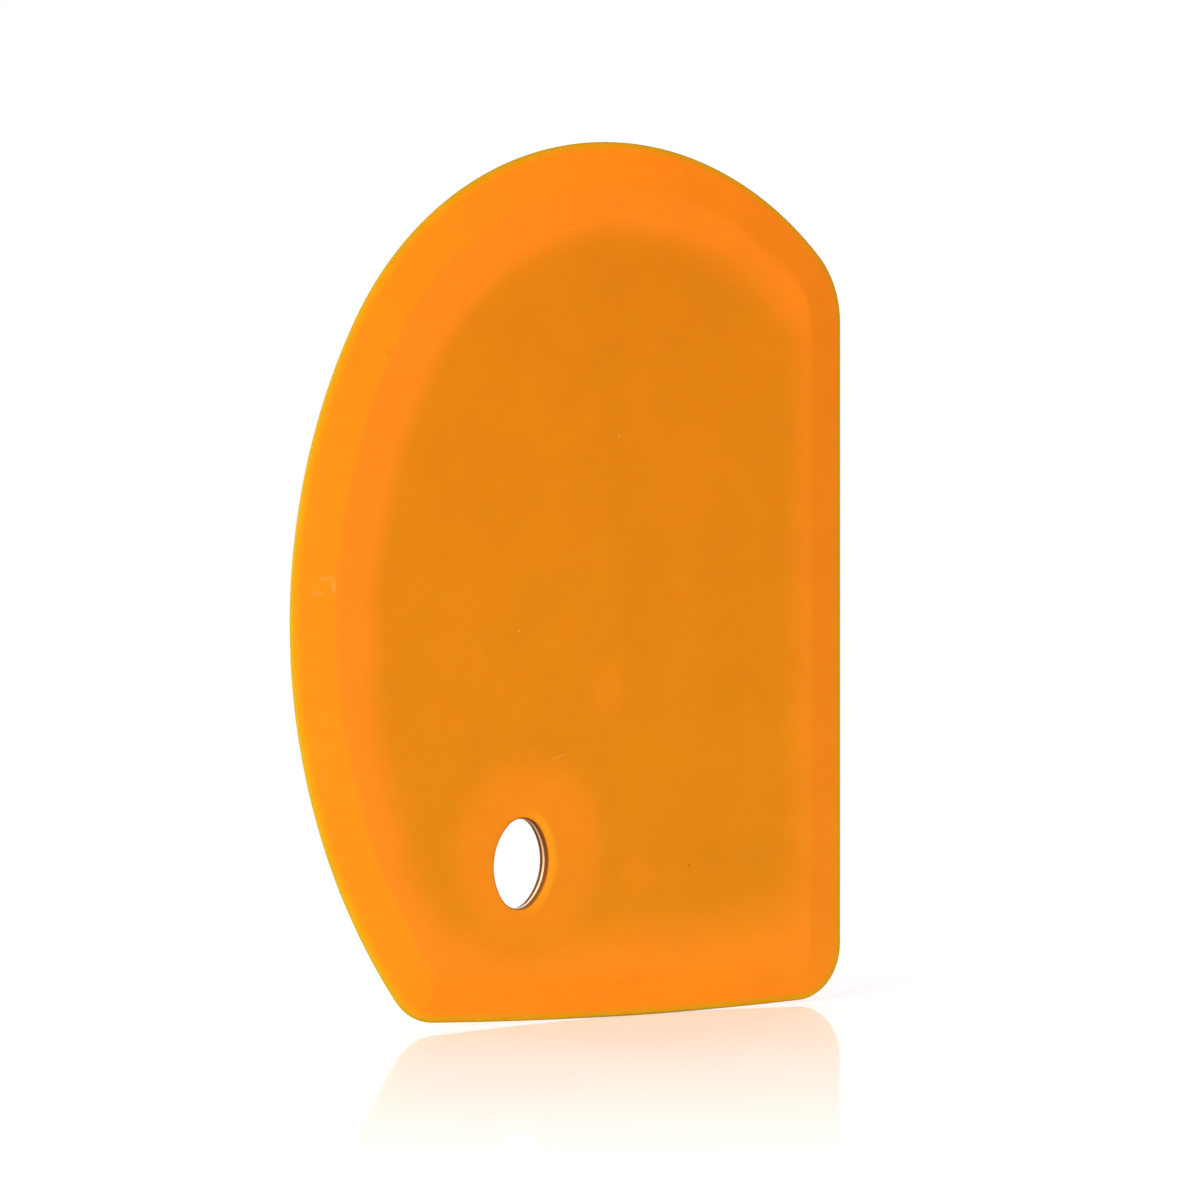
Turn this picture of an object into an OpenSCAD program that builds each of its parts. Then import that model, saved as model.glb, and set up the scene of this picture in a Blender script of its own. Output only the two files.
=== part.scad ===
// Bowl scraper: a thin flat core in a moulded silicone jacket with a tapered rim.
// It stands on its short edge, with the flat faces square to Y, the front towards -Y and the
// straight edge on the +X side. The origin is under its middle, at the level of the lowest point.
// All sizes are in millimetres.

/* [Blade outline] */
// Height, from the short edge at the bottom to the crown
blade_h = 140; // [136:0.5:145]
// Width, from the curved side to the straight edge
blade_w = 107.5; // [105:0.5:110]
// Radius of the long curved side
side_r = 98.5; // [92:0.5:104]
// Angle above level at which the curved side runs into the crown
crown_deg = 28; // [26:0.5:32]
// Depth of the straight edge's upper end under the crown
shoulder_drop = 27; // [25:0.5:31]
// Radius of the shoulder there, between the crown and the straight edge
shoulder_r = 15; // [11:0.5:19]
// Radius of the toe, at the foot of the straight edge
toe_r = 9; // [8.5:0.5:14]
// Radius of the heel, at the foot of the curved side
heel_r = 9; // [8.5:0.5:14]
// Radius of the slight bow in the short edge
sole_r = 850; // [500:10:2000]
// Distance of the bow's lowest point from the middle of the width
sole_x = 14; // [0:0.5:25]

/* [Blade section] */
// Thickness between the two flat faces
blade_t = 2.8; // [2.4:0.1:3.6]
// Thickness of the silicone at the rim
rim_t = 0.7; // [0.4:0.05:1.2]
// Width of the taper that runs round the blade, from the flat face to the rim
taper_w = 7.4; // [5:0.1:8]
// Width over which the crease at the head of the taper is rounded
crease_w = 1.2; // [0.4:0.1:2.4]

/* [Hanging hole] */
// Width of the oval hole
hole_w = 10.2; // [8.4:0.1:12]
// Height of the oval hole
hole_h = 14.2; // [12.6:0.1:17]
// Radius of its two ends
hole_end_r = 3.9; // [3:0.1:4.1]
// Lean of the oval towards the straight edge, in degrees
hole_lean = 6; // [0:1:15]
// Distance from its centre to the far point of the curved side
hole_inset = 42; // [39:0.5:46]
// Height of its centre
hole_z = 25.2; // [23:0.1:28]
// Radius of the rounded lip
lip_r = 0.6; // [0.2:0.05:0.8]

/* [Core] */
// Thickness of the core
core_t = 0.6; // [0.4:0.05:1]
// Gap left round the core inside the silicone
core_gap = 0.05; // [0.02:0.01:0.15]
// Distance from the blade's curved side to the core
core_side_inset = 14.2; // [12:0.1:16]
// Distance from the crown to the core
core_crown_inset = 14.4; // [12:0.1:16]
// Distance from the straight edge to the core
core_edge_inset = 9.2; // [8.5:0.1:11]
// Distance from the short edge to the core
core_sole_inset = 13.2; // [12:0.1:15]
// Radius of the core's curved side
core_side_r = 91; // [88:0.5:94]
// Depth of the upper end of the core's straight edge under the core's crown
core_shoulder_drop = 20.5; // [17:0.5:23]
// Radius of the core's shoulder
core_shoulder_r = 10; // [6:0.5:12]
// Radius of the core's toe
core_toe_r = 13; // [8:0.5:15]
// Radius of the core's heel
core_heel_r = 10.5; // [6:0.5:12]
// Radius of the clearance hole round the hanging hole
eye_r = 13.9; // [12:0.1:15]
// Distance of the clearance hole's centre from the hanging hole's, towards the straight edge
eye_dx = 1.4; // [0:0.1:3]
// Distance of the clearance hole's centre from the hanging hole's, upwards
eye_dz = 2; // [0:0.1:3]
// Width of the rib of core that is kept all round the clearance hole
eye_rib = 2.2; // [1.5:0.1:4]

/* [Locating holes] */
// Radius of the locating holes in the core
pin_r = 2.5; // [1.5:0.1:3.5]
// Distance of the two upper locating holes from the straight edge
pin_inset = 49; // [44:0.5:54]
// Height of the middle locating hole
pin_mid_z = 52.5; // [49:0.5:60]
// Depth of the highest locating hole under the blade's crown
pin_top_drop = 29; // [24:0.5:40]
// Distance of the lowest locating hole from the clearance hole's rim
pin_land = 5.3; // [2:0.1:8]
// Depth of the lowest locating hole under the clearance hole's centre
pin_drop = 4.3; // [0:0.1:6]

/* [Hidden] */

$fn = 96;

silicone = [0.98, 0.53, 0.12];
steel = [0.66, 0.66, 0.66];

// The straight edge, and the centres of the holes, as [x, z]
edge_x = blade_w / 2;
hole_at = [hole_inset - edge_x, hole_z];
eye_at = hole_at + [eye_dx, eye_dz];
pins_at = [
    [edge_x - pin_inset, pin_mid_z],
    [edge_x - pin_inset, blade_h - pin_top_drop],
    eye_at + [eye_r + pin_land + pin_r, -pin_drop],
];

// Steps along each arc of an outline, in the order of d_outline
arc_steps = [8, 12, 14, 10, 14, 8, 5, 5, 8];
// Steps round the rim's nose, over each crease and along each lip
nose_steps = 6;
crease_steps = 3;
lip_steps = 3;
// Steps along an end and a flank of the oval hole
oval_steps = 9;
// How far a cutting tool stands out of the face that it cuts
cut_past = 1;

// The point at angle a on a circle
function on_circle(centre, r, a) = centre + r * [cos(a), sin(a)];

// Points along an arc from angle a to angle b, without its last one
function arc(centre, r, a, b, steps) =
    [for (i = [0:steps - 1]) on_circle(centre, r, a + (b - a) * i / steps)];

// The direction from p to q, from 0 to 360 degrees
function heading(p, q) = (atan2(q[1] - p[1], q[0] - p[0]) + 360) % 360;

// The lower left of the two points where two circles meet
function lower_meet(p, rp, q, rq) =
    let (
        d = norm(q - p),
        u = (q - p) / d,
        along = (rp * rp - rq * rq + d * d) / (2 * d),
        across = sqrt(rp * rp - along * along)
    )
    p + along * u + across * [-u[1], u[0]];

// The radius of the crown that touches the side, the level of the top and the shoulder. The side is
// left behind at crown_deg, and the shoulder's centre lies at span from the curved side's far point
// and at drop under the top.
function crown_radius(side, span, drop, shoulder) =
    let (
        k = cos(crown_deg),
        reach = span - side * (1 - k),
        b = reach * k + drop - shoulder,
        c = reach * reach + drop * drop - shoulder * shoulder
    )
    (b - sqrt(b * b - k * k * c)) / (k * k);

// A D-shaped outline, anticlockwise as seen from the front, as [x, z] points. Its straight edge is at
// x = edge and ends at drop under its crown, its curved side reaches x = left, its crown z = top and
// its bowed short edge z = bottom. The arcs that pass a far point of the outline are split there.
function d_outline(left, edge, bottom, top, side, drop, shoulder, toe, heel, inset = 0) =
    let (
        crown = crown_radius(side, edge - shoulder - left, drop, shoulder),
        crown_z = top - crown,
        side_c = [left + side, crown_z - (side - crown) * sin(crown_deg)],
        crown_c = [side_c[0] - (side - crown) * cos(crown_deg), crown_z],
        shoulder_c = [edge - shoulder, top - drop],
        sole_c = [sole_x, bottom + sole_r],
        toe_x = edge - toe,
        toe_c = [toe_x, sole_c[1] - sqrt(pow(sole_r - toe, 2) - pow(toe_x - sole_c[0], 2))],
        heel_c = lower_meet(side_c, side - heel, sole_c, sole_r - heel),
        centres = [shoulder_c, crown_c, crown_c, side_c, side_c, heel_c, sole_c, sole_c, toe_c],
        radii = [shoulder, crown, crown, side, side, heel, sole_r, sole_r, toe],
        turns = [
            0,
            heading(crown_c, shoulder_c),
            90,
            180 - crown_deg,
            180,
            heading(side_c, heel_c),
            heading(sole_c, heel_c),
            270,
            heading(sole_c, toe_c),
            360
        ]
    )
    concat(
        [for (k = [0:len(radii) - 1])
            for (p = arc(centres[k], radii[k] - inset, turns[k], turns[k + 1], arc_steps[k])) p],
        [[edge - inset, toe_c[1]]]
    );

// The blade's outline, drawn in by an inset
function blade_outline(inset = 0) =
    d_outline(
        -edge_x, edge_x, 0, blade_h, side_r, shoulder_drop,
        shoulder_r, toe_r, heel_r, inset
    );

// The core's outline, grown outwards
function core_outline(grow) =
    d_outline(
        core_side_inset - edge_x, edge_x - core_edge_inset, core_sole_inset,
        blade_h - core_crown_inset, core_side_r, core_shoulder_drop,
        core_shoulder_r, core_toe_r, core_heel_r, -grow
    );

// Half the blade's section, from the head of the taper to the middle of the rim, as
// [inset from the outline, height above the blade's mid-plane]: the rounded crease, then the nose
taper_angle = atan2((blade_t - rim_t) / 2, taper_w - rim_t / 2);
crease_half = crease_w / 2;
crease_curve = [
    for (i = [0:crease_steps])
        let (t = i / crease_steps)
        [taper_w + crease_half * (1 - 2 * t), blade_t / 2 - crease_half * tan(taper_angle) * t * t]
];
nose_curve = [
    for (i = [0:nose_steps])
        let (a = (90 - taper_angle) * (1 - i / nose_steps))
        [rim_t / 2 * (1 - cos(a)), rim_t / 2 * sin(a)]
];
front_section = concat(crease_curve, nose_curve);

// Both faces' sections in one run, front to back, as [inset, y]
blade_section = concat(
    [for (s = front_section) [s[0], -s[1]]],
    [for (i = [len(front_section) - 2:-1:0]) front_section[i]]
);

// The oval hole, grown outwards: two end arcs joined by two flatter flank arcs, as [x, z] points
hole_flank_r = (pow(hole_w / 2, 2) + pow(hole_h / 2 - hole_end_r, 2) - pow(hole_end_r, 2))
    / (hole_w - 2 * hole_end_r);
function lean(p) = [
    p[0] * cos(hole_lean) + p[1] * sin(hole_lean),
    p[1] * cos(hole_lean) - p[0] * sin(hole_lean)
];
function oval(grow) =
    let (
        end_z = hole_h / 2 - hole_end_r,
        flank_x = hole_flank_r - hole_w / 2,
        turn = atan2(end_z, flank_x),
        right = arc([-flank_x, 0], hole_flank_r + grow, -turn, turn, oval_steps),
        upper = arc([0, end_z], hole_end_r + grow, turn, 180 - turn, oval_steps)
    )
    [for (p = concat(right, upper, -right, -upper)) hole_at + lean(p)];

// The lip's section in the front face, as [growth of the oval, y], from outside the face inwards
lip_curve = [
    for (i = [0:lip_steps])
        let (a = 90 * (lip_steps - i) / (lip_steps + 0.5))
        [lip_r * (1 - cos(a)), -blade_t / 2 + lip_r * (1 - sin(a))]
];
lip_out = lip_curve[0] + (lip_curve[0] - lip_curve[1]) * cut_past;
hole_section = concat(
    [lip_out],
    lip_curve,
    [for (i = [lip_steps:-1:0]) [lip_curve[i][0], -lip_curve[i][1]]],
    [[lip_out[0], -lip_out[1]]]
);

// A solid through a stack of rings of [x, z] points, one at each y, the ends closed flat
module loft(rings, ys) {
    n = len(rings[0]);
    last = len(rings) - 1;
    polyhedron(
        points = [for (k = [0:last]) for (p = rings[k]) [p[0], ys[k], p[1]]],
        faces = concat(
            [[for (i = [n - 1:-1:0]) i]],
            [for (k = [0:last - 1]) for (i = [0:n - 1]) let (j = (i + 1) % n)
                [k * n + i, k * n + j, (k + 1) * n + j, (k + 1) * n + i]],
            [[for (i = [0:n - 1]) last * n + i]]
        ),
        convexity = 4
    );
}

// The jacket's outer form, without its hole
module blade_form() {
    loft([for (s = blade_section) blade_outline(s[0])], [for (s = blade_section) s[1]]);
}

// The hanging hole with its two rounded lips, as the solid to cut away
module hole_form() {
    loft([for (s = hole_section) oval(s[0])], [for (s = hole_section) s[1]]);
}

// The core plate, grown by a gap on every side
module core_form(grow = 0) {
    rotate([90, 0, 0])
        linear_extrude(core_t + 2 * grow, center = true)
            difference() {
                union() {
                    polygon(core_outline(grow));
                    translate(eye_at)
                        circle(eye_r + eye_rib + grow);
                }
                translate(eye_at)
                    circle(eye_r - grow);
                for (p = pins_at)
                    translate(p)
                        circle(pin_r - grow);
            }
}

// The silicone moulding, with the pocket that the core fills: silicone fills the core's holes
module silicone_jacket() {
    color(silicone)
        difference() {
            blade_form();
            hole_form();
            core_form(core_gap);
        }
}

// The plate that stiffens the blade
module stiffener_core() {
    color(steel)
        core_form();
}

silicone_jacket();
stiffener_core();
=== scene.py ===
"""The looks of a bowl scraper: a thin steel core in a jacket of translucent orange silicone.

Lengths are in metres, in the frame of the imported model: the scraper stands on its short edge, its
flat faces are square to Y, the front looks towards -Y and the straight edge is on the +X side.
"""

import math

import bpy
import numpy as np
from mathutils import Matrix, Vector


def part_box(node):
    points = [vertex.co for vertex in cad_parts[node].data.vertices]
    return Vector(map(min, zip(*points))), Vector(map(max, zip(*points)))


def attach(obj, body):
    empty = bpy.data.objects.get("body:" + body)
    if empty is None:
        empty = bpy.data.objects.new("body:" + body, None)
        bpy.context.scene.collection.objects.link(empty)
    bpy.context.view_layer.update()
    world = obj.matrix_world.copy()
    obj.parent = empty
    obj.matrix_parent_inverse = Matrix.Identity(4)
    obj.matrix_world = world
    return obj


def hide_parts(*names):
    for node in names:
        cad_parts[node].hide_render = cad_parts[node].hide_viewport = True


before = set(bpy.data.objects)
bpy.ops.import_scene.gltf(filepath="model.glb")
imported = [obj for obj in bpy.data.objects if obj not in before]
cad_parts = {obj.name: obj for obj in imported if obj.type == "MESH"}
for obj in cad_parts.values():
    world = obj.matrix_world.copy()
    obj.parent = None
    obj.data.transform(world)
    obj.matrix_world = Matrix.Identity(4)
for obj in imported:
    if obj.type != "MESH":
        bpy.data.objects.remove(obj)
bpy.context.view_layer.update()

MM = 0.001

# The jacket's outer sizes come from the frame
jacket_low, jacket_high = (np.array(corner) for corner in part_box("silicone_jacket"))
EDGE_X = jacket_high[0]
LEFT_X = jacket_low[0]
CROWN_Z = jacket_high[2]
HALF_T = jacket_high[1]

# Radii and angles of the jacket's outline
SIDE_R = 98.5 * MM
CROWN_DEG = 28
SHOULDER_DROP = 27 * MM
SHOULDER_R = 15 * MM
TOE_R = 9 * MM
HEEL_R = 9 * MM
SOLE_R = 850 * MM
SOLE_X = 14 * MM

# The taper round the blade
TAPER_W = 7.4 * MM
CREASE_W = 1.2 * MM
RIM_T = 0.7 * MM

# The parting line, where the two halves of the mould met, stands a little proud of the rim's nose
# and of the hole's wall
RIM_SEAM = 0.03 * MM
WALL_SEAM = 0.10 * MM

# The oval hanging hole
HOLE_W = 10.2 * MM
HOLE_H = 14.2 * MM
HOLE_END_R = 3.9 * MM
HOLE_LEAN = math.radians(6)
HOLE_AT = np.array([LEFT_X + 42 * MM, 25.2 * MM])
LIP_R = 0.6 * MM

# The core's outline, as margins inside the jacket's and radii, and its holes
CORE_SIDE_INSET = 14.2 * MM
CORE_CROWN_INSET = 14.4 * MM
CORE_EDGE_INSET = 9.2 * MM
CORE_SOLE_INSET = 13.2 * MM
CORE_SIDE_R = 91 * MM
CORE_SHOULDER_DROP = 20.5 * MM
CORE_SHOULDER_R = 10 * MM
CORE_TOE_R = 13 * MM
CORE_HEEL_R = 10.5 * MM
EYE_AT = HOLE_AT + np.array([1.4, 2.0]) * MM
EYE_R = 13.9 * MM
EYE_RIB = 2.2 * MM
PIN_R = 2.5 * MM
PINS_AT = [
    np.array([EDGE_X - 49 * MM, 52.5 * MM]),
    np.array([EDGE_X - 49 * MM, CROWN_Z - 29 * MM]),
    EYE_AT + np.array([EYE_R + 5.3 * MM + PIN_R, -4.3 * MM]),
]

# How fine the mesh is: the distance between points along the outline, the rings of points on the
# face, the crease, the slope, the nose and the lip, and the points round the oval
OUTLINE_STEP = 1.1 * MM
CORE_STEP = 2 * MM
FACE_RINGS = 72
CREASE_RINGS = 6
SLOPE_RINGS = 9
NOSE_RINGS = 9
LIP_RINGS = 8
OVAL_STEPS = 400
# The nose's last ring lies at this angle from the seam, in radians
NOSE_END = 0.12

# The photograph's frame and camera, in its pixels and in metres
PHOTO_PX = 1200
FOCAL_PX = 4255
PX_PER_MM = 6.262
CAMERA_DEG = -36
SENSOR_MM = 36
LOOK_AT = (4.41 * MM, 0.0, 66.67 * MM)


def srgb(red, green, blue):
    """A linear colour from an 8-bit sRGB one."""
    values = np.array([red, green, blue]) / 255
    linear = np.where(values <= 0.04045, values / 12.92, ((values + 0.055) / 1.055) ** 2.4)
    return (*linear.tolist(), 1.0)


def smooth(value, low, high):
    """0 at low, 1 at high, and a smooth step between."""
    t = np.clip((value - low) / (high - low), 0, 1)
    return t * t * (3 - 2 * t)


def heading(p, q):
    """The direction from p to q, in degrees from 0 to 360."""
    return math.degrees(math.atan2(q[1] - p[1], q[0] - p[0])) % 360


def lower_meet(p, rp, q, rq):
    """The lower left of the two points where two circles meet."""
    d = np.linalg.norm(q - p)
    u = (q - p) / d
    along = (rp * rp - rq * rq + d * d) / (2 * d)
    across = math.sqrt(rp * rp - along * along)
    return p + along * u + across * np.array([-u[1], u[0]])


def crown_radius(side, span, drop, shoulder):
    """The radius of the crown that touches the side, the level of the top and the shoulder."""
    k = math.cos(math.radians(CROWN_DEG))
    reach = span - side * (1 - k)
    b = reach * k + drop - shoulder
    c = reach * reach + drop * drop - shoulder * shoulder
    return (b - math.sqrt(b * b - k * k * c)) / (k * k)


class DOutline:
    """A D-shaped outline made of arcs that touch, anticlockwise as seen from the front."""

    def __init__(self, left, edge, bottom, top, side, drop, shoulder, toe, heel):
        crown = crown_radius(side, edge - shoulder - left, drop, shoulder)
        turn = math.radians(CROWN_DEG)
        side_c = np.array([left + side, top - crown - (side - crown) * math.sin(turn)])
        crown_c = np.array([side_c[0] - (side - crown) * math.cos(turn), top - crown])
        shoulder_c = np.array([edge - shoulder, top - drop])
        sole_c = np.array([SOLE_X, bottom + SOLE_R])
        toe_x = edge - toe
        toe_z = sole_c[1] - math.sqrt((SOLE_R - toe) ** 2 - (toe_x - sole_c[0]) ** 2)
        toe_c = np.array([toe_x, toe_z])
        heel_c = lower_meet(side_c, side - heel, sole_c, SOLE_R - heel)
        self.edge = edge
        self.toe_z = toe_z
        self.shoulder_z = shoulder_c[1]
        self.centres = [shoulder_c, crown_c, side_c, heel_c, sole_c, toe_c]
        self.radii = [shoulder, crown, side, heel, SOLE_R, toe]
        self.turns = [
            0,
            heading(crown_c, shoulder_c),
            180 - CROWN_DEG,
            heading(side_c, heel_c),
            heading(sole_c, heel_c),
            heading(sole_c, toe_c),
            360,
        ]

    def points(self, inset, step):
        """Points about step apart on the outline itself, each drawn in by the inset."""
        found = []
        for centre, radius, start, end in zip(
            self.centres, self.radii, self.turns, self.turns[1:]
        ):
            length = math.radians(end - start) * radius
            count = max(8, round(length / step))
            angles = np.radians(np.linspace(start, end, count, endpoint=False))
            ring = np.stack([np.cos(angles), np.sin(angles)], axis=1) * (radius - inset)
            found.append(centre + ring)
        count = round((self.shoulder_z - self.toe_z) / step)
        levels = np.linspace(self.toe_z, self.shoulder_z, count, endpoint=False)
        found.append(np.stack([np.full(count, self.edge - inset), levels], axis=1))
        return np.concatenate(found)


blade_outline = DOutline(
    LEFT_X, EDGE_X, 0.0, CROWN_Z, SIDE_R, SHOULDER_DROP, SHOULDER_R, TOE_R, HEEL_R
)
core_outline = DOutline(
    LEFT_X + CORE_SIDE_INSET,
    EDGE_X - CORE_EDGE_INSET,
    CORE_SOLE_INSET,
    CROWN_Z - CORE_CROWN_INSET,
    CORE_SIDE_R,
    CORE_SHOULDER_DROP,
    CORE_SHOULDER_R,
    CORE_TOE_R,
    CORE_HEEL_R,
)


def oval(grow):
    """The oval hole, grown outwards: two end arcs joined by two flatter flanks."""
    half_w, half_h = HOLE_W / 2, HOLE_H / 2
    end_z = half_h - HOLE_END_R
    flank_r = (half_w**2 + end_z**2 - HOLE_END_R**2) / (2 * (half_w - HOLE_END_R))
    flank_x = flank_r - half_w
    turn = math.atan2(end_z, flank_x)

    def arc(centre, radius, start, end):
        angles = np.linspace(start, end, OVAL_STEPS // 4, endpoint=False)
        return np.array(centre) + radius * np.stack([np.cos(angles), np.sin(angles)], axis=1)

    right = arc((-flank_x, 0), flank_r + grow, -turn, turn)
    upper = arc((0, end_z), HOLE_END_R + grow, turn, math.pi - turn)
    loop = np.concatenate([right, upper, -right, -upper])
    c, s = math.cos(HOLE_LEAN), math.sin(HOLE_LEAN)
    return loop @ np.array([[c, -s], [s, c]])


def oval_towards(grow, directions):
    """The grown oval's points in the given directions from its centre, in radians."""
    loop = oval(grow)
    angles = np.unwrap(np.arctan2(loop[:, 1], loop[:, 0]))
    radii = np.linalg.norm(loop, axis=1)
    reach = np.interp(directions, angles, radii, period=2 * math.pi)
    return HOLE_AT + reach[:, None] * np.stack([np.cos(directions), np.sin(directions)], axis=1)


def taper_section():
    """The front half of the rim's section, from the flat face out to the seam, as (inset, height)."""
    rim_r = RIM_T / 2
    angle = math.atan2(HALF_T - rim_r, TAPER_W - rim_r)
    half = CREASE_W / 2
    crease = [
        (TAPER_W + half * (1 - 2 * t), HALF_T - half * math.tan(angle) * t * t)
        for t in np.linspace(0, 1, CREASE_RINGS)
    ]
    nose_start = math.pi / 2 - angle
    nose = [
        (RIM_SEAM + rim_r * (1 - math.cos(a)), rim_r * math.sin(a))
        for a in np.linspace(nose_start, NOSE_END, NOSE_RINGS)
    ]
    slope = [
        tuple(np.array(crease[-1]) * (1 - t) + np.array(nose[0]) * t)
        for t in np.linspace(0, 1, SLOPE_RINGS)[1:-1]
    ]
    return crease + slope + nose + [(0.0, 0.0)]


def lip_section():
    """The front half of the hole's section, from the wall's seam to the flat face, as (growth, height)."""
    wall_top = HALF_T - LIP_R
    wall = [(-WALL_SEAM, 0.0)] + [(0.0, wall_top * t) for t in (0.12, 0.4, 0.7)]
    lip = [
        (LIP_R * (1 - math.cos(a)), wall_top + LIP_R * math.sin(a))
        for a in np.linspace(0, math.pi / 2, LIP_RINGS)
    ]
    return wall + lip


def distance_to_loop(points, loop):
    """Each point's distance to a closed loop, below zero inside it."""
    start, end = loop, np.roll(loop, -1, axis=0)
    run = end - start
    best = np.full(len(points), np.inf)
    inside = np.zeros(len(points), bool)
    for a, b, d in zip(start, end, run):
        t = np.clip(((points - a) @ d) / (d @ d), 0, 1)
        best = np.minimum(best, np.linalg.norm(points - a - t[:, None] * d, axis=1))
        crosses = (a[1] > points[:, 1]) != (b[1] > points[:, 1])
        if crosses.any():
            x = a[0] + (points[:, 1] - a[1]) * d[0] / (d[1] if d[1] else 1)
            inside ^= crosses & (points[:, 0] < x)
    return np.where(inside, -best, best)


# Half the width over which the core's edge blurs in the silicone above it, in the middle of the
# scraper, and how much wider the blur gets for each metre to the right and down
CORE_BLUR = 4.3 * MM
BLUR_RIGHT = 0.036
BLUR_DOWN = 0.026
MID_Z = 70 * MM
EYE_BLUR = 3.2 * MM
PIN_BLUR = 2.6 * MM
# How bright its holes look, where 1 is as bright as the silicone beside it
EYE_SHOWS = 0.56
PINS_SHOW = [0.30, 0.08, 0.30]


def core_and_its_shade(points):
    """How much the core shows through the silicone at each point, from 0 to 1, and with it the painted
    shade where the core stops the light coming through from behind.
    """
    plate = distance_to_loop(points, core_outline.points(0.0, CORE_STEP))
    from_eye = np.linalg.norm(points - EYE_AT, axis=1)
    lobe = from_eye - EYE_R - EYE_RIB
    blur = CORE_BLUR + BLUR_RIGHT * points[:, 0] - BLUR_DOWN * (points[:, 1] - MID_Z)
    core_shade = smooth(-np.minimum(plate, lobe) / blur, -1, 1)
    core_shade = core_shade * (1 - EYE_SHOWS * smooth(EYE_R - from_eye, -EYE_BLUR, EYE_BLUR))
    for pin, shows in zip(PINS_AT, PINS_SHOW):
        from_pin = np.linalg.norm(points - pin, axis=1)
        core_shade = core_shade * (1 - shows * smooth(PIN_R - from_pin, -PIN_BLUR, PIN_BLUR))
    return core_shade


def make_mesh(name, rings, heights, values):
    """A closed skin through a cycle of rings, each a loop of [x, z] points at one y for each point."""
    count, across = len(rings), len(rings[0])
    points = np.stack([rings[..., 0], heights, rings[..., 1]], axis=-1).reshape(-1, 3)
    ring, column = np.meshgrid(np.arange(count), np.arange(across), indexing="ij")
    next_ring, next_column = (ring + 1) % count, (column + 1) % across
    faces = np.stack(
        [
            ring * across + column,
            ring * across + next_column,
            next_ring * across + next_column,
            next_ring * across + column,
        ],
        axis=-1,
    ).reshape(-1, 4)
    mesh = bpy.data.meshes.new(name)
    mesh.from_pydata(points.tolist(), [], faces.tolist())
    mesh.validate()
    mesh.shade_smooth()
    for label, data in values.items():
        attribute = mesh.attributes.new(label, "FLOAT", "POINT")
        attribute.data.foreach_set("value", data.reshape(-1).astype(np.float32))
    mesh.update()
    piece = bpy.data.objects.new(name, mesh)
    bpy.context.scene.collection.objects.link(piece)
    return piece


def jacket():
    """The silicone moulding, as one closed skin from the hole's seam out to the rim's and back."""
    base = blade_outline.points(0.0, OUTLINE_STEP)
    taper, lip = taper_section(), lip_section()
    crease_in = blade_outline.points(taper[0][0], OUTLINE_STEP)
    directions = np.arctan2(*(crease_in - HOLE_AT).T[::-1])
    rings, heights, rim, hole = [], [], [], []

    def add(ring, height, from_rim, from_hole):
        rings.append(ring)
        heights.append(np.full(len(base), height))
        rim.append(np.broadcast_to(from_rim, len(base)))
        hole.append(np.broadcast_to(from_hole, len(base)))

    # Rings off the taper count as a metre away from the rim, and rings on it as a metre from the hole
    far = 1.0
    for grow, height in lip:
        add(oval_towards(grow, directions), height, far, grow)
    inner = rings[-1]
    for t in np.linspace(0, 1, FACE_RINGS + 1)[1:-1]:
        ring = inner * (1 - t) + crease_in * t
        add(ring, HALF_T, far, LIP_R + np.linalg.norm(ring - inner, axis=1))
    for inset, height in taper:
        add(blade_outline.points(inset, OUTLINE_STEP), height, inset, far)
    # The back is the front's mirror image, without a second seam ring at either end
    for k in range(len(rings) - 2, 0, -1):
        add(rings[k], 0.0, rim[k], hole[k])
        heights[-1] = -heights[k]
    rings, heights = np.array(rings), -np.array(heights)
    flat = rings.reshape(-1, 2)
    values = {
        "core_and_its_shade": core_and_its_shade(flat),
        "from_rim": np.array(rim),
        "from_hole": np.array(hole),
    }
    return make_mesh("silicone_jacket_skin", rings, heights, values)


# The colour sockets of a Mix node
MIX_A, MIX_B = 6, 7
MIX_RESULT = 2


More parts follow.
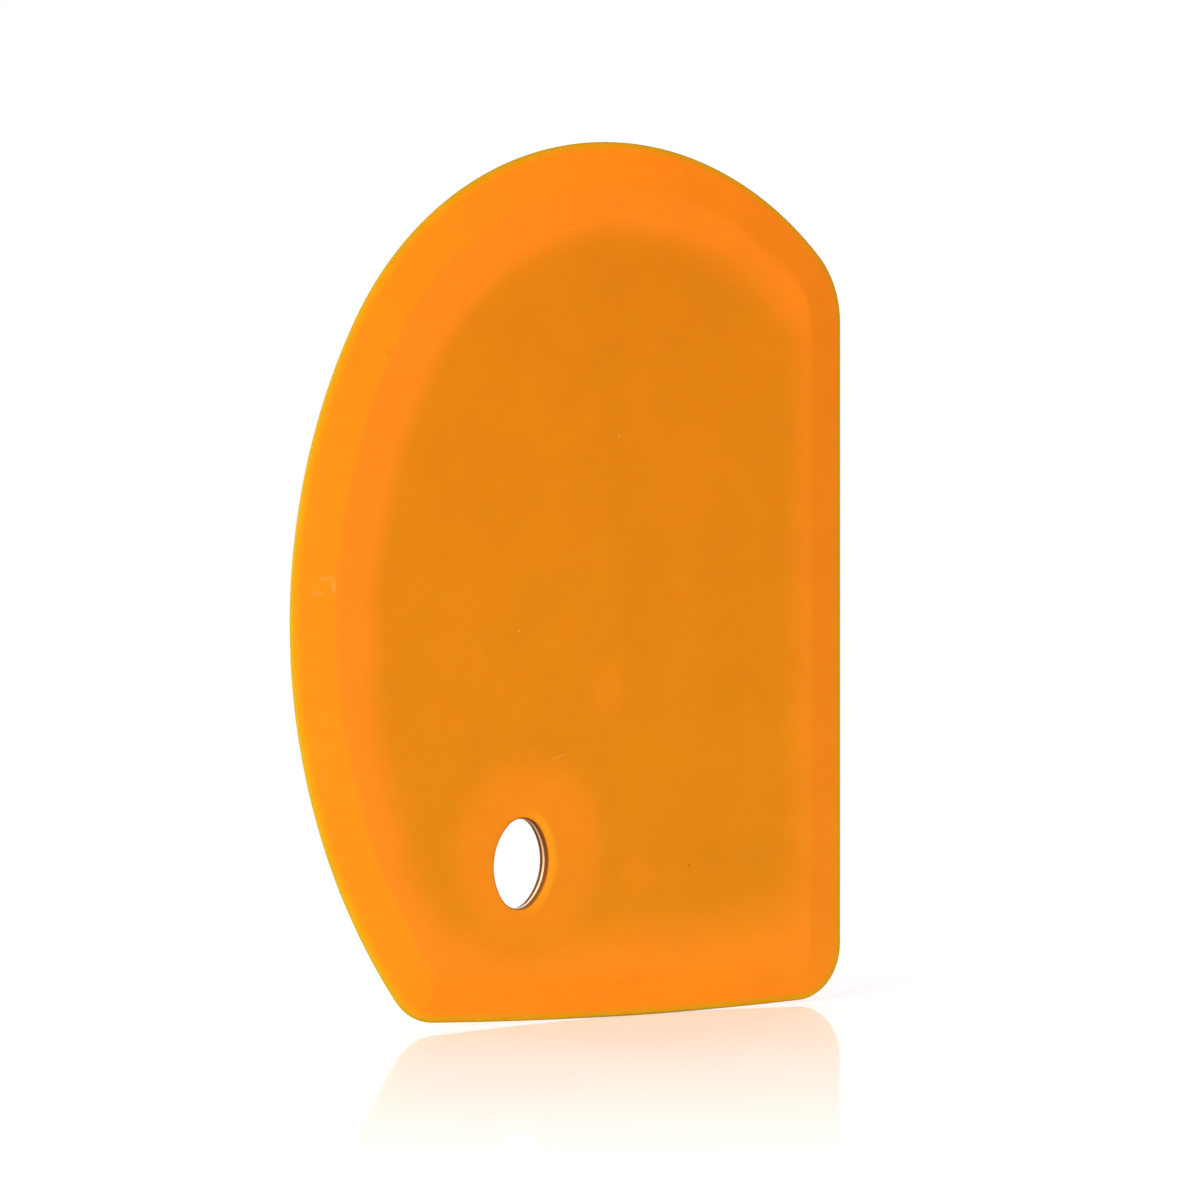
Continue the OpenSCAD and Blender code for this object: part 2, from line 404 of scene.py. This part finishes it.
class Nodes:
    """A material's node tree, with short ways to add the nodes that the looks are made of."""

    def __init__(self, name):
        self.material = bpy.data.materials.new(name)
        self.material.use_nodes = True
        self.tree = self.material.node_tree
        self.shader = self.tree.nodes["Principled BSDF"]
        self.output = self.tree.nodes["Material Output"]

    def add(self, kind, **settings):
        node = self.tree.nodes.new(kind)
        for key, value in settings.items():
            setattr(node, key, value)
        return node

    def link(self, source, target):
        self.tree.links.new(source, target)

    def feed(self, socket, value):
        """Sets a socket from another node's output, or to a plain value."""
        if isinstance(value, bpy.types.NodeSocket):
            self.link(value, socket)
        else:
            socket.default_value = value

    def place(self, scale=(1, 1, 1), turn=(0, 0, 0)):
        """The point on the piece, in metres, stretched and turned."""
        coordinates = self.add("ShaderNodeTexCoord")
        mapping = self.add("ShaderNodeMapping")
        mapping.inputs["Scale"].default_value = scale
        mapping.inputs["Rotation"].default_value = turn
        self.link(coordinates.outputs["Object"], mapping.inputs["Vector"])
        return mapping.outputs["Vector"]

    def attribute(self, name):
        return self.add("ShaderNodeAttribute", attribute_name=name).outputs["Fac"]

    def noise(self, place, size, detail=3.0, roughness=0.5):
        """Noise from 0 to 1 whose blobs are about size metres across."""
        node = self.add("ShaderNodeTexNoise")
        self.link(place, node.inputs["Vector"])
        node.inputs["Scale"].default_value = 1 / size
        node.inputs["Detail"].default_value = detail
        node.inputs["Roughness"].default_value = roughness
        return node.outputs["Fac"]

    def step(self, value, low, high, to_low=0.0, to_high=1.0, how="SMOOTHSTEP"):
        """A smooth step of a value, from to_low at low to to_high at high, or a straight ramp."""
        node = self.add("ShaderNodeMapRange", interpolation_type=how)
        self.feed(node.inputs["Value"], value)
        node.inputs["From Min"].default_value = low
        node.inputs["From Max"].default_value = high
        node.inputs["To Min"].default_value = to_low
        node.inputs["To Max"].default_value = to_high
        return node.outputs["Result"]

    def math(self, operation, a, b=0.0):
        node = self.add("ShaderNodeMath", operation=operation)
        self.feed(node.inputs[0], a)
        self.feed(node.inputs[1], b)
        return node.outputs[0]

    def streak(self, place, at, lean, length, width):
        """1 on a short straight mark at a point on the faces, fading to 0 beside it."""
        offset = self.add("ShaderNodeVectorMath", operation="SUBTRACT")
        self.link(place, offset.inputs[0])
        offset.inputs[1].default_value = at
        turned = self.add("ShaderNodeVectorRotate", rotation_type="Y_AXIS")
        self.link(offset.outputs[0], turned.inputs["Vector"])
        turned.inputs["Angle"].default_value = math.radians(lean)
        axes = self.add("ShaderNodeSeparateXYZ")
        self.link(turned.outputs[0], axes.inputs[0])
        along = self.math("ABSOLUTE", axes.outputs["X"])
        across = self.math("ABSOLUTE", axes.outputs["Z"])
        on_length = self.step(along, length * 0.2, length * 0.5, 1.0, 0.0)
        on_width = self.step(across, 0.0, width, 1.0, 0.0)
        return self.math("MULTIPLY", on_length, on_width)

    def blend(self, share, a, b, how="MIX"):
        """Colour a turned into b by a share."""
        node = self.add("ShaderNodeMix", data_type="RGBA", blend_type=how)
        self.feed(node.inputs["Factor"], share)
        self.feed(node.inputs[MIX_A], a)
        self.feed(node.inputs[MIX_B], b)
        return node.outputs[MIX_RESULT]

    def bump(self, height, depth, below=None):
        """A normal from a height from 0 to 1 that stands for depth metres."""
        node = self.add("ShaderNodeBump")
        node.inputs["Strength"].default_value = 1.0
        node.inputs["Distance"].default_value = depth
        self.link(height, node.inputs["Height"])
        if below is not None:
            self.link(below, node.inputs["Normal"])
        return node.outputs["Normal"]


# Colours of the silicone: over the core, beside it, on the taper and where the rim is thinnest. Over the
# core it is darker, partly the core seen through the silicone and partly painted shade where the core
# stops the light coming through from behind; at the rim it is yellower with painted light coming through
# the thin silicone
OVER_CORE_SHADED = srgb(224, 132, 14)
BESIDE_CORE = srgb(248, 138, 26)
ON_TAPER = srgb(249, 138, 20)
RIM_LIT_THROUGH = srgb(216, 154, 12)
AT_NOSE = srgb(176, 136, 16)
# The hole's wall in painted shade, and the painted highlight on its parting line, above and below
WALL_SHADE_ABOVE = srgb(94, 52, 14)
WALL_SHADE_BELOW = srgb(128, 66, 12)
SEAM_HIGHLIGHT_ABOVE = srgb(196, 146, 104)
SEAM_HIGHLIGHT_BELOW = srgb(250, 224, 186)
LIT_LIP = srgb(255, 168, 30)
WORN = srgb(255, 186, 112)
SPECK = srgb(150, 82, 16)

# What the colours are multiplied by at the sole, where they are yellower, and at the crown
TINT_BELOW = (1, 1.09, 1.2, 1)
TINT_ABOVE = (1, 0.925, 0.9, 1)

# The dust's coarse pattern, the radius of a dot as a share of it, the share of cells without a dot,
# and how much a dot shows
DUST_CELL = 6 * MM
DUST_R = 0.034
DUSTLESS = 0.55
DUST_SHOWS = 0.3

# The sizes and depths of the surface's waves and grain, and the size of its dull patches and clouds
WAVE, WAVE_DEPTH = 22 * MM, 0.05 * MM
GRAIN, GRAIN_DEPTH = 0.35 * MM, 0.006 * MM
DULL_PATCH = 3 * MM
CLOUD = 16 * MM

# Marks of use on the front: x and z, lean in degrees, length, width, colour and how much it shows
MARKS = [
    (7.6, 129.8, 84, 1.6, 0.10, SPECK, 0.45),
    (21.2, 23.8, 0, 0.6, 0.45, SPECK, 0.55),
    (-37.0, 104.8, 0, 0.5, 0.40, SPECK, 0.50),
    (-46.7, 68.7, 90, 2.6, 0.55, WORN, 0.25),
    (-47.9, 69.9, 4, 3.4, 0.50, WORN, 0.16),
    (-49.4, 67.7, 0, 2.4, 0.50, WORN, 0.16),
    (-4.6, 41.9, 16, 4.2, 0.10, WORN, 0.50),
    (40.4, 86.5, 0, 1.4, 0.08, SPECK, 0.40),
    (7.2, 92.8, 30, 0.5, 0.30, WORN, 0.55),
    (-12.3, 61.7, 60, 0.4, 0.30, WORN, 0.60),
    (27.5, 99.0, 70, 2.6, 0.07, WORN, 0.22),
    (-24.0, 84.5, 35, 2.2, 0.07, WORN, 0.22),
]


def silicone():
    """Satin translucent silicone, in which the core shows as a darker zone with soft edges: partly the
    core seen through the silicone, partly painted shade where it stops the light coming through from
    behind.
    """
    n = Nodes("orange_silicone")
    place = n.place()
    core_shade = n.attribute("core_and_its_shade")
    from_rim = n.attribute("from_rim")
    from_hole = n.attribute("from_hole")

    # Darker over the core: the core seen through the silicone, and painted shade where it stops the light
    # coming through from behind
    colour = n.blend(core_shade, BESIDE_CORE, OVER_CORE_SHADED)
    on_taper = n.step(from_rim, TAPER_W - 0.6 * MM, TAPER_W + 0.6 * MM, 1.0, 0.0)
    colour = n.blend(on_taper, colour, ON_TAPER)
    # Painted light coming through the thin rim makes it yellower
    at_rim = n.step(from_rim, 0.2 * MM, 1.7 * MM, 1.0, 0.0)
    colour = n.blend(at_rim, colour, RIM_LIT_THROUGH)
    at_nose = n.step(from_rim, 0.05 * MM, 0.4 * MM, 1.0, 0.0)
    colour = n.blend(at_nose, colour, AT_NOSE)

    # Painted shade makes the hole's wall darker than the faces, and a painted highlight on its parting
    # line is brighter low down
    axes = n.add("ShaderNodeSeparateXYZ")
    n.link(place, axes.inputs[0])
    from_middle = n.math("ABSOLUTE", axes.outputs["Y"])
    low, high = HOLE_AT[1] - 0.4 * HOLE_H, HOLE_AT[1] + 0.3 * HOLE_H
    above = n.step(axes.outputs["Z"], low, high)
    seam = n.blend(above, SEAM_HIGHLIGHT_BELOW, SEAM_HIGHLIGHT_ABOVE)
    beside = n.blend(above, WALL_SHADE_BELOW, WALL_SHADE_ABOVE)
    wall = n.blend(n.step(from_middle, 0.16 * MM, 0.36 * MM), seam, beside)
    in_hole = n.step(from_hole, 0.02 * MM, 0.34 * MM, 1.0, 0.0)
    colour = n.blend(in_hole, colour, wall)

    # Light gathers in the lip on the hole's right, away from the key lamp
    right = n.step(axes.outputs["X"], HOLE_AT[0], HOLE_AT[0] + 5 * MM)
    lip_in = n.step(from_hole, 0.3 * MM, 0.7 * MM)
    lip_out = n.step(from_hole, 0.9 * MM, 2.0 * MM, 1.0, 0.0)
    on_lip = n.math("MULTIPLY", n.math("MULTIPLY", lip_in, lip_out), right)
    colour = n.blend(n.math("MULTIPLY", on_lip, 0.5), colour, LIT_LIP)

    # Dust and pinholes: one small dot in some of the cells of a coarse pattern
    cells = n.add("ShaderNodeTexVoronoi", feature="F1")
    n.link(place, cells.inputs["Vector"])
    cells.inputs["Scale"].default_value = 1 / DUST_CELL
    kind = n.add("ShaderNodeSeparateColor")
    n.link(cells.outputs["Color"], kind.inputs[0])
    dot = n.step(cells.outputs["Distance"], 0.3 * DUST_R, DUST_R, 1.0, 0.0)
    dusty = n.math("GREATER_THAN", kind.outputs[0], DUSTLESS)
    light = n.blend(n.math("GREATER_THAN", kind.outputs[1], 0.5), SPECK, WORN)
    dots = n.math("MULTIPLY", n.math("MULTIPLY", dot, dusty), DUST_SHOWS)
    colour = n.blend(dots, colour, light)

    in_front = n.math("LESS_THAN", axes.outputs["Y"], -0.5 * MM)
    for x, z, lean, length, width, paint, shows in MARKS:
        shape = n.streak(place, (x * MM, 0, z * MM), lean, length * MM, width * MM)
        share = n.math("MULTIPLY", n.math("MULTIPLY", shape, in_front), shows)
        colour = n.blend(share, colour, paint)

    # Faint clouds, as the silicone is a little thicker in some places, and the tint
    clouds = n.step(n.noise(place, CLOUD, 4.0, 0.6), 0.3, 0.7, 0.965, 1.02)
    colour = n.blend(1.0, colour, clouds, "MULTIPLY")
    height = n.step(axes.outputs["Z"], 0.0, CROWN_Z, how="LINEAR")
    colour = n.blend(1.0, colour, n.blend(height, TINT_BELOW, TINT_ABOVE), "MULTIPLY")

    n.feed(n.shader.inputs["Base Color"], colour)
    roughness = n.step(n.noise(place, DULL_PATCH, 5.0, 0.6), 0.2, 0.8, 0.42, 0.54)
    n.feed(n.shader.inputs["Roughness"], roughness)
    n.shader.inputs["Specular IOR Level"].default_value = 0.05
    n.shader.inputs["Subsurface Weight"].default_value = 0.3
    n.shader.inputs["Subsurface Radius"].default_value = (1.0, 0.4, 0.05)
    n.shader.inputs["Subsurface Scale"].default_value = 1.6 * MM

    waves = n.bump(n.noise(place, WAVE, 2.0, 0.5), WAVE_DEPTH)
    grain = n.bump(n.noise(place, GRAIN, 3.0, 0.6), GRAIN_DEPTH, waves)
    n.feed(n.shader.inputs["Normal"], grain)
    return n.material


def brushed_steel():
    """Sheet steel with the fine streaks of rolling along its height."""
    n = Nodes("brushed_steel")
    streaks = n.noise(n.place(scale=(1, 1, 0.02)), 0.25 * MM, 4.0, 0.7)
    clouds = n.noise(n.place(), 14 * MM, 3.0, 0.5)
    colour = n.blend(streaks, srgb(150, 151, 153), srgb(186, 187, 188))
    colour = n.blend(n.step(clouds, 0.35, 0.65), colour, srgb(172, 171, 168))
    n.feed(n.shader.inputs["Base Color"], colour)
    n.shader.inputs["Metallic"].default_value = 1.0
    n.feed(n.shader.inputs["Roughness"], n.step(streaks, 0.2, 0.8, 0.24, 0.42))
    n.feed(n.shader.inputs["Normal"], n.bump(streaks, 0.004 * MM))
    return n.material


WHITE = (1, 1, 1, 1)
BLACK = (0, 0, 0, 1)
FLOOR_HALF = 3.0
FLOOR_COLOUR = (0.92, 0.92, 0.92, 1)
# The floor's reflection fades between two distances in front of the scraper, along the direction of
# the photograph's view. It is a little blue, so that orange shows in it as peach and not as pink.
GLOSS = 0.365
GLOSS_TINT = (0.88, 0.86, 1, 1)
GLOSS_NEAR, GLOSS_FAR = 0.024, 0.267
GLOSS_ROUGHNESS = 0.05
# Its shading fades into white between two distances from the scraper, and a glow that only the
# camera sees makes it lighter
FADE_START, FADE_END = 0.16, 0.34
LIFT = 0.26


def floor():
    """A white floor that keeps the shadow and a faint reflection, and fades into the backdrop."""
    mesh = bpy.data.meshes.new("floor")
    corners = [(-FLOOR_HALF, -FLOOR_HALF, 0), (FLOOR_HALF, -FLOOR_HALF, 0)]
    corners += [(FLOOR_HALF, FLOOR_HALF, 0), (-FLOOR_HALF, FLOOR_HALF, 0)]
    mesh.from_pydata(corners, [], [(0, 1, 2, 3)])
    piece = bpy.data.objects.new("floor", mesh)
    bpy.context.scene.collection.objects.link(piece)

    n = Nodes("white_floor")
    place = n.place()
    path = n.add("ShaderNodeLightPath")
    length = n.add("ShaderNodeVectorMath", operation="LENGTH")
    n.link(place, length.inputs[0])
    away = n.step(length.outputs["Value"], FADE_START, FADE_END)

    towards = n.add("ShaderNodeVectorMath", operation="DOT_PRODUCT")
    n.link(place, towards.inputs[0])
    a = math.radians(CAMERA_DEG)
    towards.inputs[1].default_value = (math.sin(a), -math.cos(a), 0)
    share = n.step(towards.outputs["Value"], GLOSS_NEAR, GLOSS_FAR, GLOSS, 0.0, "LINEAR")
    share = n.math("MULTIPLY", share, n.math("SUBTRACT", 1.0, away))
    gloss = n.add("ShaderNodeBsdfGlossy")
    n.feed(gloss.inputs["Color"], n.blend(share, BLACK, GLOSS_TINT))
    gloss.inputs["Roughness"].default_value = GLOSS_ROUGHNESS

    # What the gloss takes is gone from the floor's own white
    rest = n.blend(share, WHITE, tuple(1 - part for part in GLOSS_TINT[:3]) + (1,))
    n.feed(n.shader.inputs["Base Color"], n.blend(1.0, FLOOR_COLOUR, rest, "MULTIPLY"))
    n.shader.inputs["Roughness"].default_value = 0.9
    n.shader.inputs["Specular IOR Level"].default_value = 0.0
    lift = n.add("ShaderNodeEmission")
    n.feed(lift.inputs["Color"], rest)
    n.feed(lift.inputs["Strength"], n.math("MULTIPLY", path.outputs["Is Camera Ray"], LIFT))
    lifted = n.add("ShaderNodeAddShader")
    n.link(n.shader.outputs[0], lifted.inputs[0])
    n.link(lift.outputs[0], lifted.inputs[1])

    seen = n.math("MAXIMUM", path.outputs["Is Camera Ray"], path.outputs["Is Glossy Ray"])
    white = n.add("ShaderNodeEmission")
    n.feed(white.inputs["Color"], rest)
    fade = n.add("ShaderNodeMixShader")
    n.feed(fade.inputs[0], n.math("MULTIPLY", away, seen))
    n.link(lifted.outputs[0], fade.inputs[1])
    n.link(white.outputs[0], fade.inputs[2])
    glossy = n.add("ShaderNodeAddShader")
    n.link(fade.outputs[0], glossy.inputs[0])
    n.link(gloss.outputs[0], glossy.inputs[1])
    n.link(glossy.outputs[0], n.output.inputs["Surface"])
    piece.data.materials.append(n.material)


# How strongly the white world lights the object
AMBIENT = 0.50
# Nearer than this the camera sees nothing, in metres
CLIP_START = 0.01


def backdrop():
    """A white world, which lights the object more softly than it looks."""
    world = bpy.data.worlds.new("white_studio")
    bpy.context.scene.world = world
    world.use_nodes = True
    tree = world.node_tree
    background = tree.nodes["Background"]
    background.inputs["Color"].default_value = (1, 1, 1, 1)
    path = tree.nodes.new("ShaderNodeLightPath")
    seen = tree.nodes.new("ShaderNodeMath")
    seen.operation = "MAXIMUM"
    tree.links.new(path.outputs["Is Camera Ray"], seen.inputs[0])
    tree.links.new(path.outputs["Is Glossy Ray"], seen.inputs[1])
    through = tree.nodes.new("ShaderNodeMath")
    through.operation = "MAXIMUM"
    tree.links.new(seen.outputs[0], through.inputs[0])
    tree.links.new(path.outputs["Is Transmission Ray"], through.inputs[1])
    strength = tree.nodes.new("ShaderNodeMapRange")
    strength.inputs["To Min"].default_value = AMBIENT
    strength.inputs["To Max"].default_value = 1.0
    tree.links.new(through.outputs[0], strength.inputs["Value"])
    tree.links.new(strength.outputs["Result"], background.inputs["Strength"])


def softbox(name, azimuth, elevation, distance, size, watts):
    """A square lamp that looks at the scraper's middle."""
    data = bpy.data.lights.new(name, "AREA")
    data.shape = "SQUARE"
    data.size = size
    data.energy = watts
    lamp = bpy.data.objects.new(name, data)
    bpy.context.scene.collection.objects.link(lamp)
    aim(lamp, azimuth, elevation, distance)


def aim(thing, azimuth, elevation, distance):
    """Puts a camera or lamp round the scraper, in degrees and metres, and turns it to look there."""
    a, e = math.radians(azimuth), math.radians(elevation)
    out = (math.sin(a) * math.cos(e), -math.cos(a) * math.cos(e), math.sin(e))
    thing.location = [c + distance * d for c, d in zip(LOOK_AT, out)]
    thing.rotation_euler = (math.pi / 2 - e, 0, a)


def camera():
    """The photograph's view: level, and turned to the curved side."""
    data = bpy.data.cameras.new("camera")
    data.sensor_fit = "HORIZONTAL"
    data.sensor_width = SENSOR_MM
    data.lens = FOCAL_PX * SENSOR_MM / PHOTO_PX
    data.clip_start = CLIP_START
    view = bpy.data.objects.new("camera", data)
    bpy.context.scene.collection.objects.link(view)
    aim(view, CAMERA_DEG, 0, FOCAL_PX / PX_PER_MM * MM)
    bpy.context.scene.camera = view


skin = jacket()
skin.data.materials.append(silicone())
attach(skin, "root")
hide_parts("silicone_jacket")

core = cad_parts["stiffener_core"]
core.material_slots[0].material = brushed_steel()

floor()
backdrop()
softbox("key", azimuth=-72, elevation=12, distance=1.2, size=0.8, watts=21)
softbox("rear", azimuth=140, elevation=25, distance=1.4, size=1.0, watts=10)
camera()

bpy.context.scene.view_settings.view_transform = "Standard"
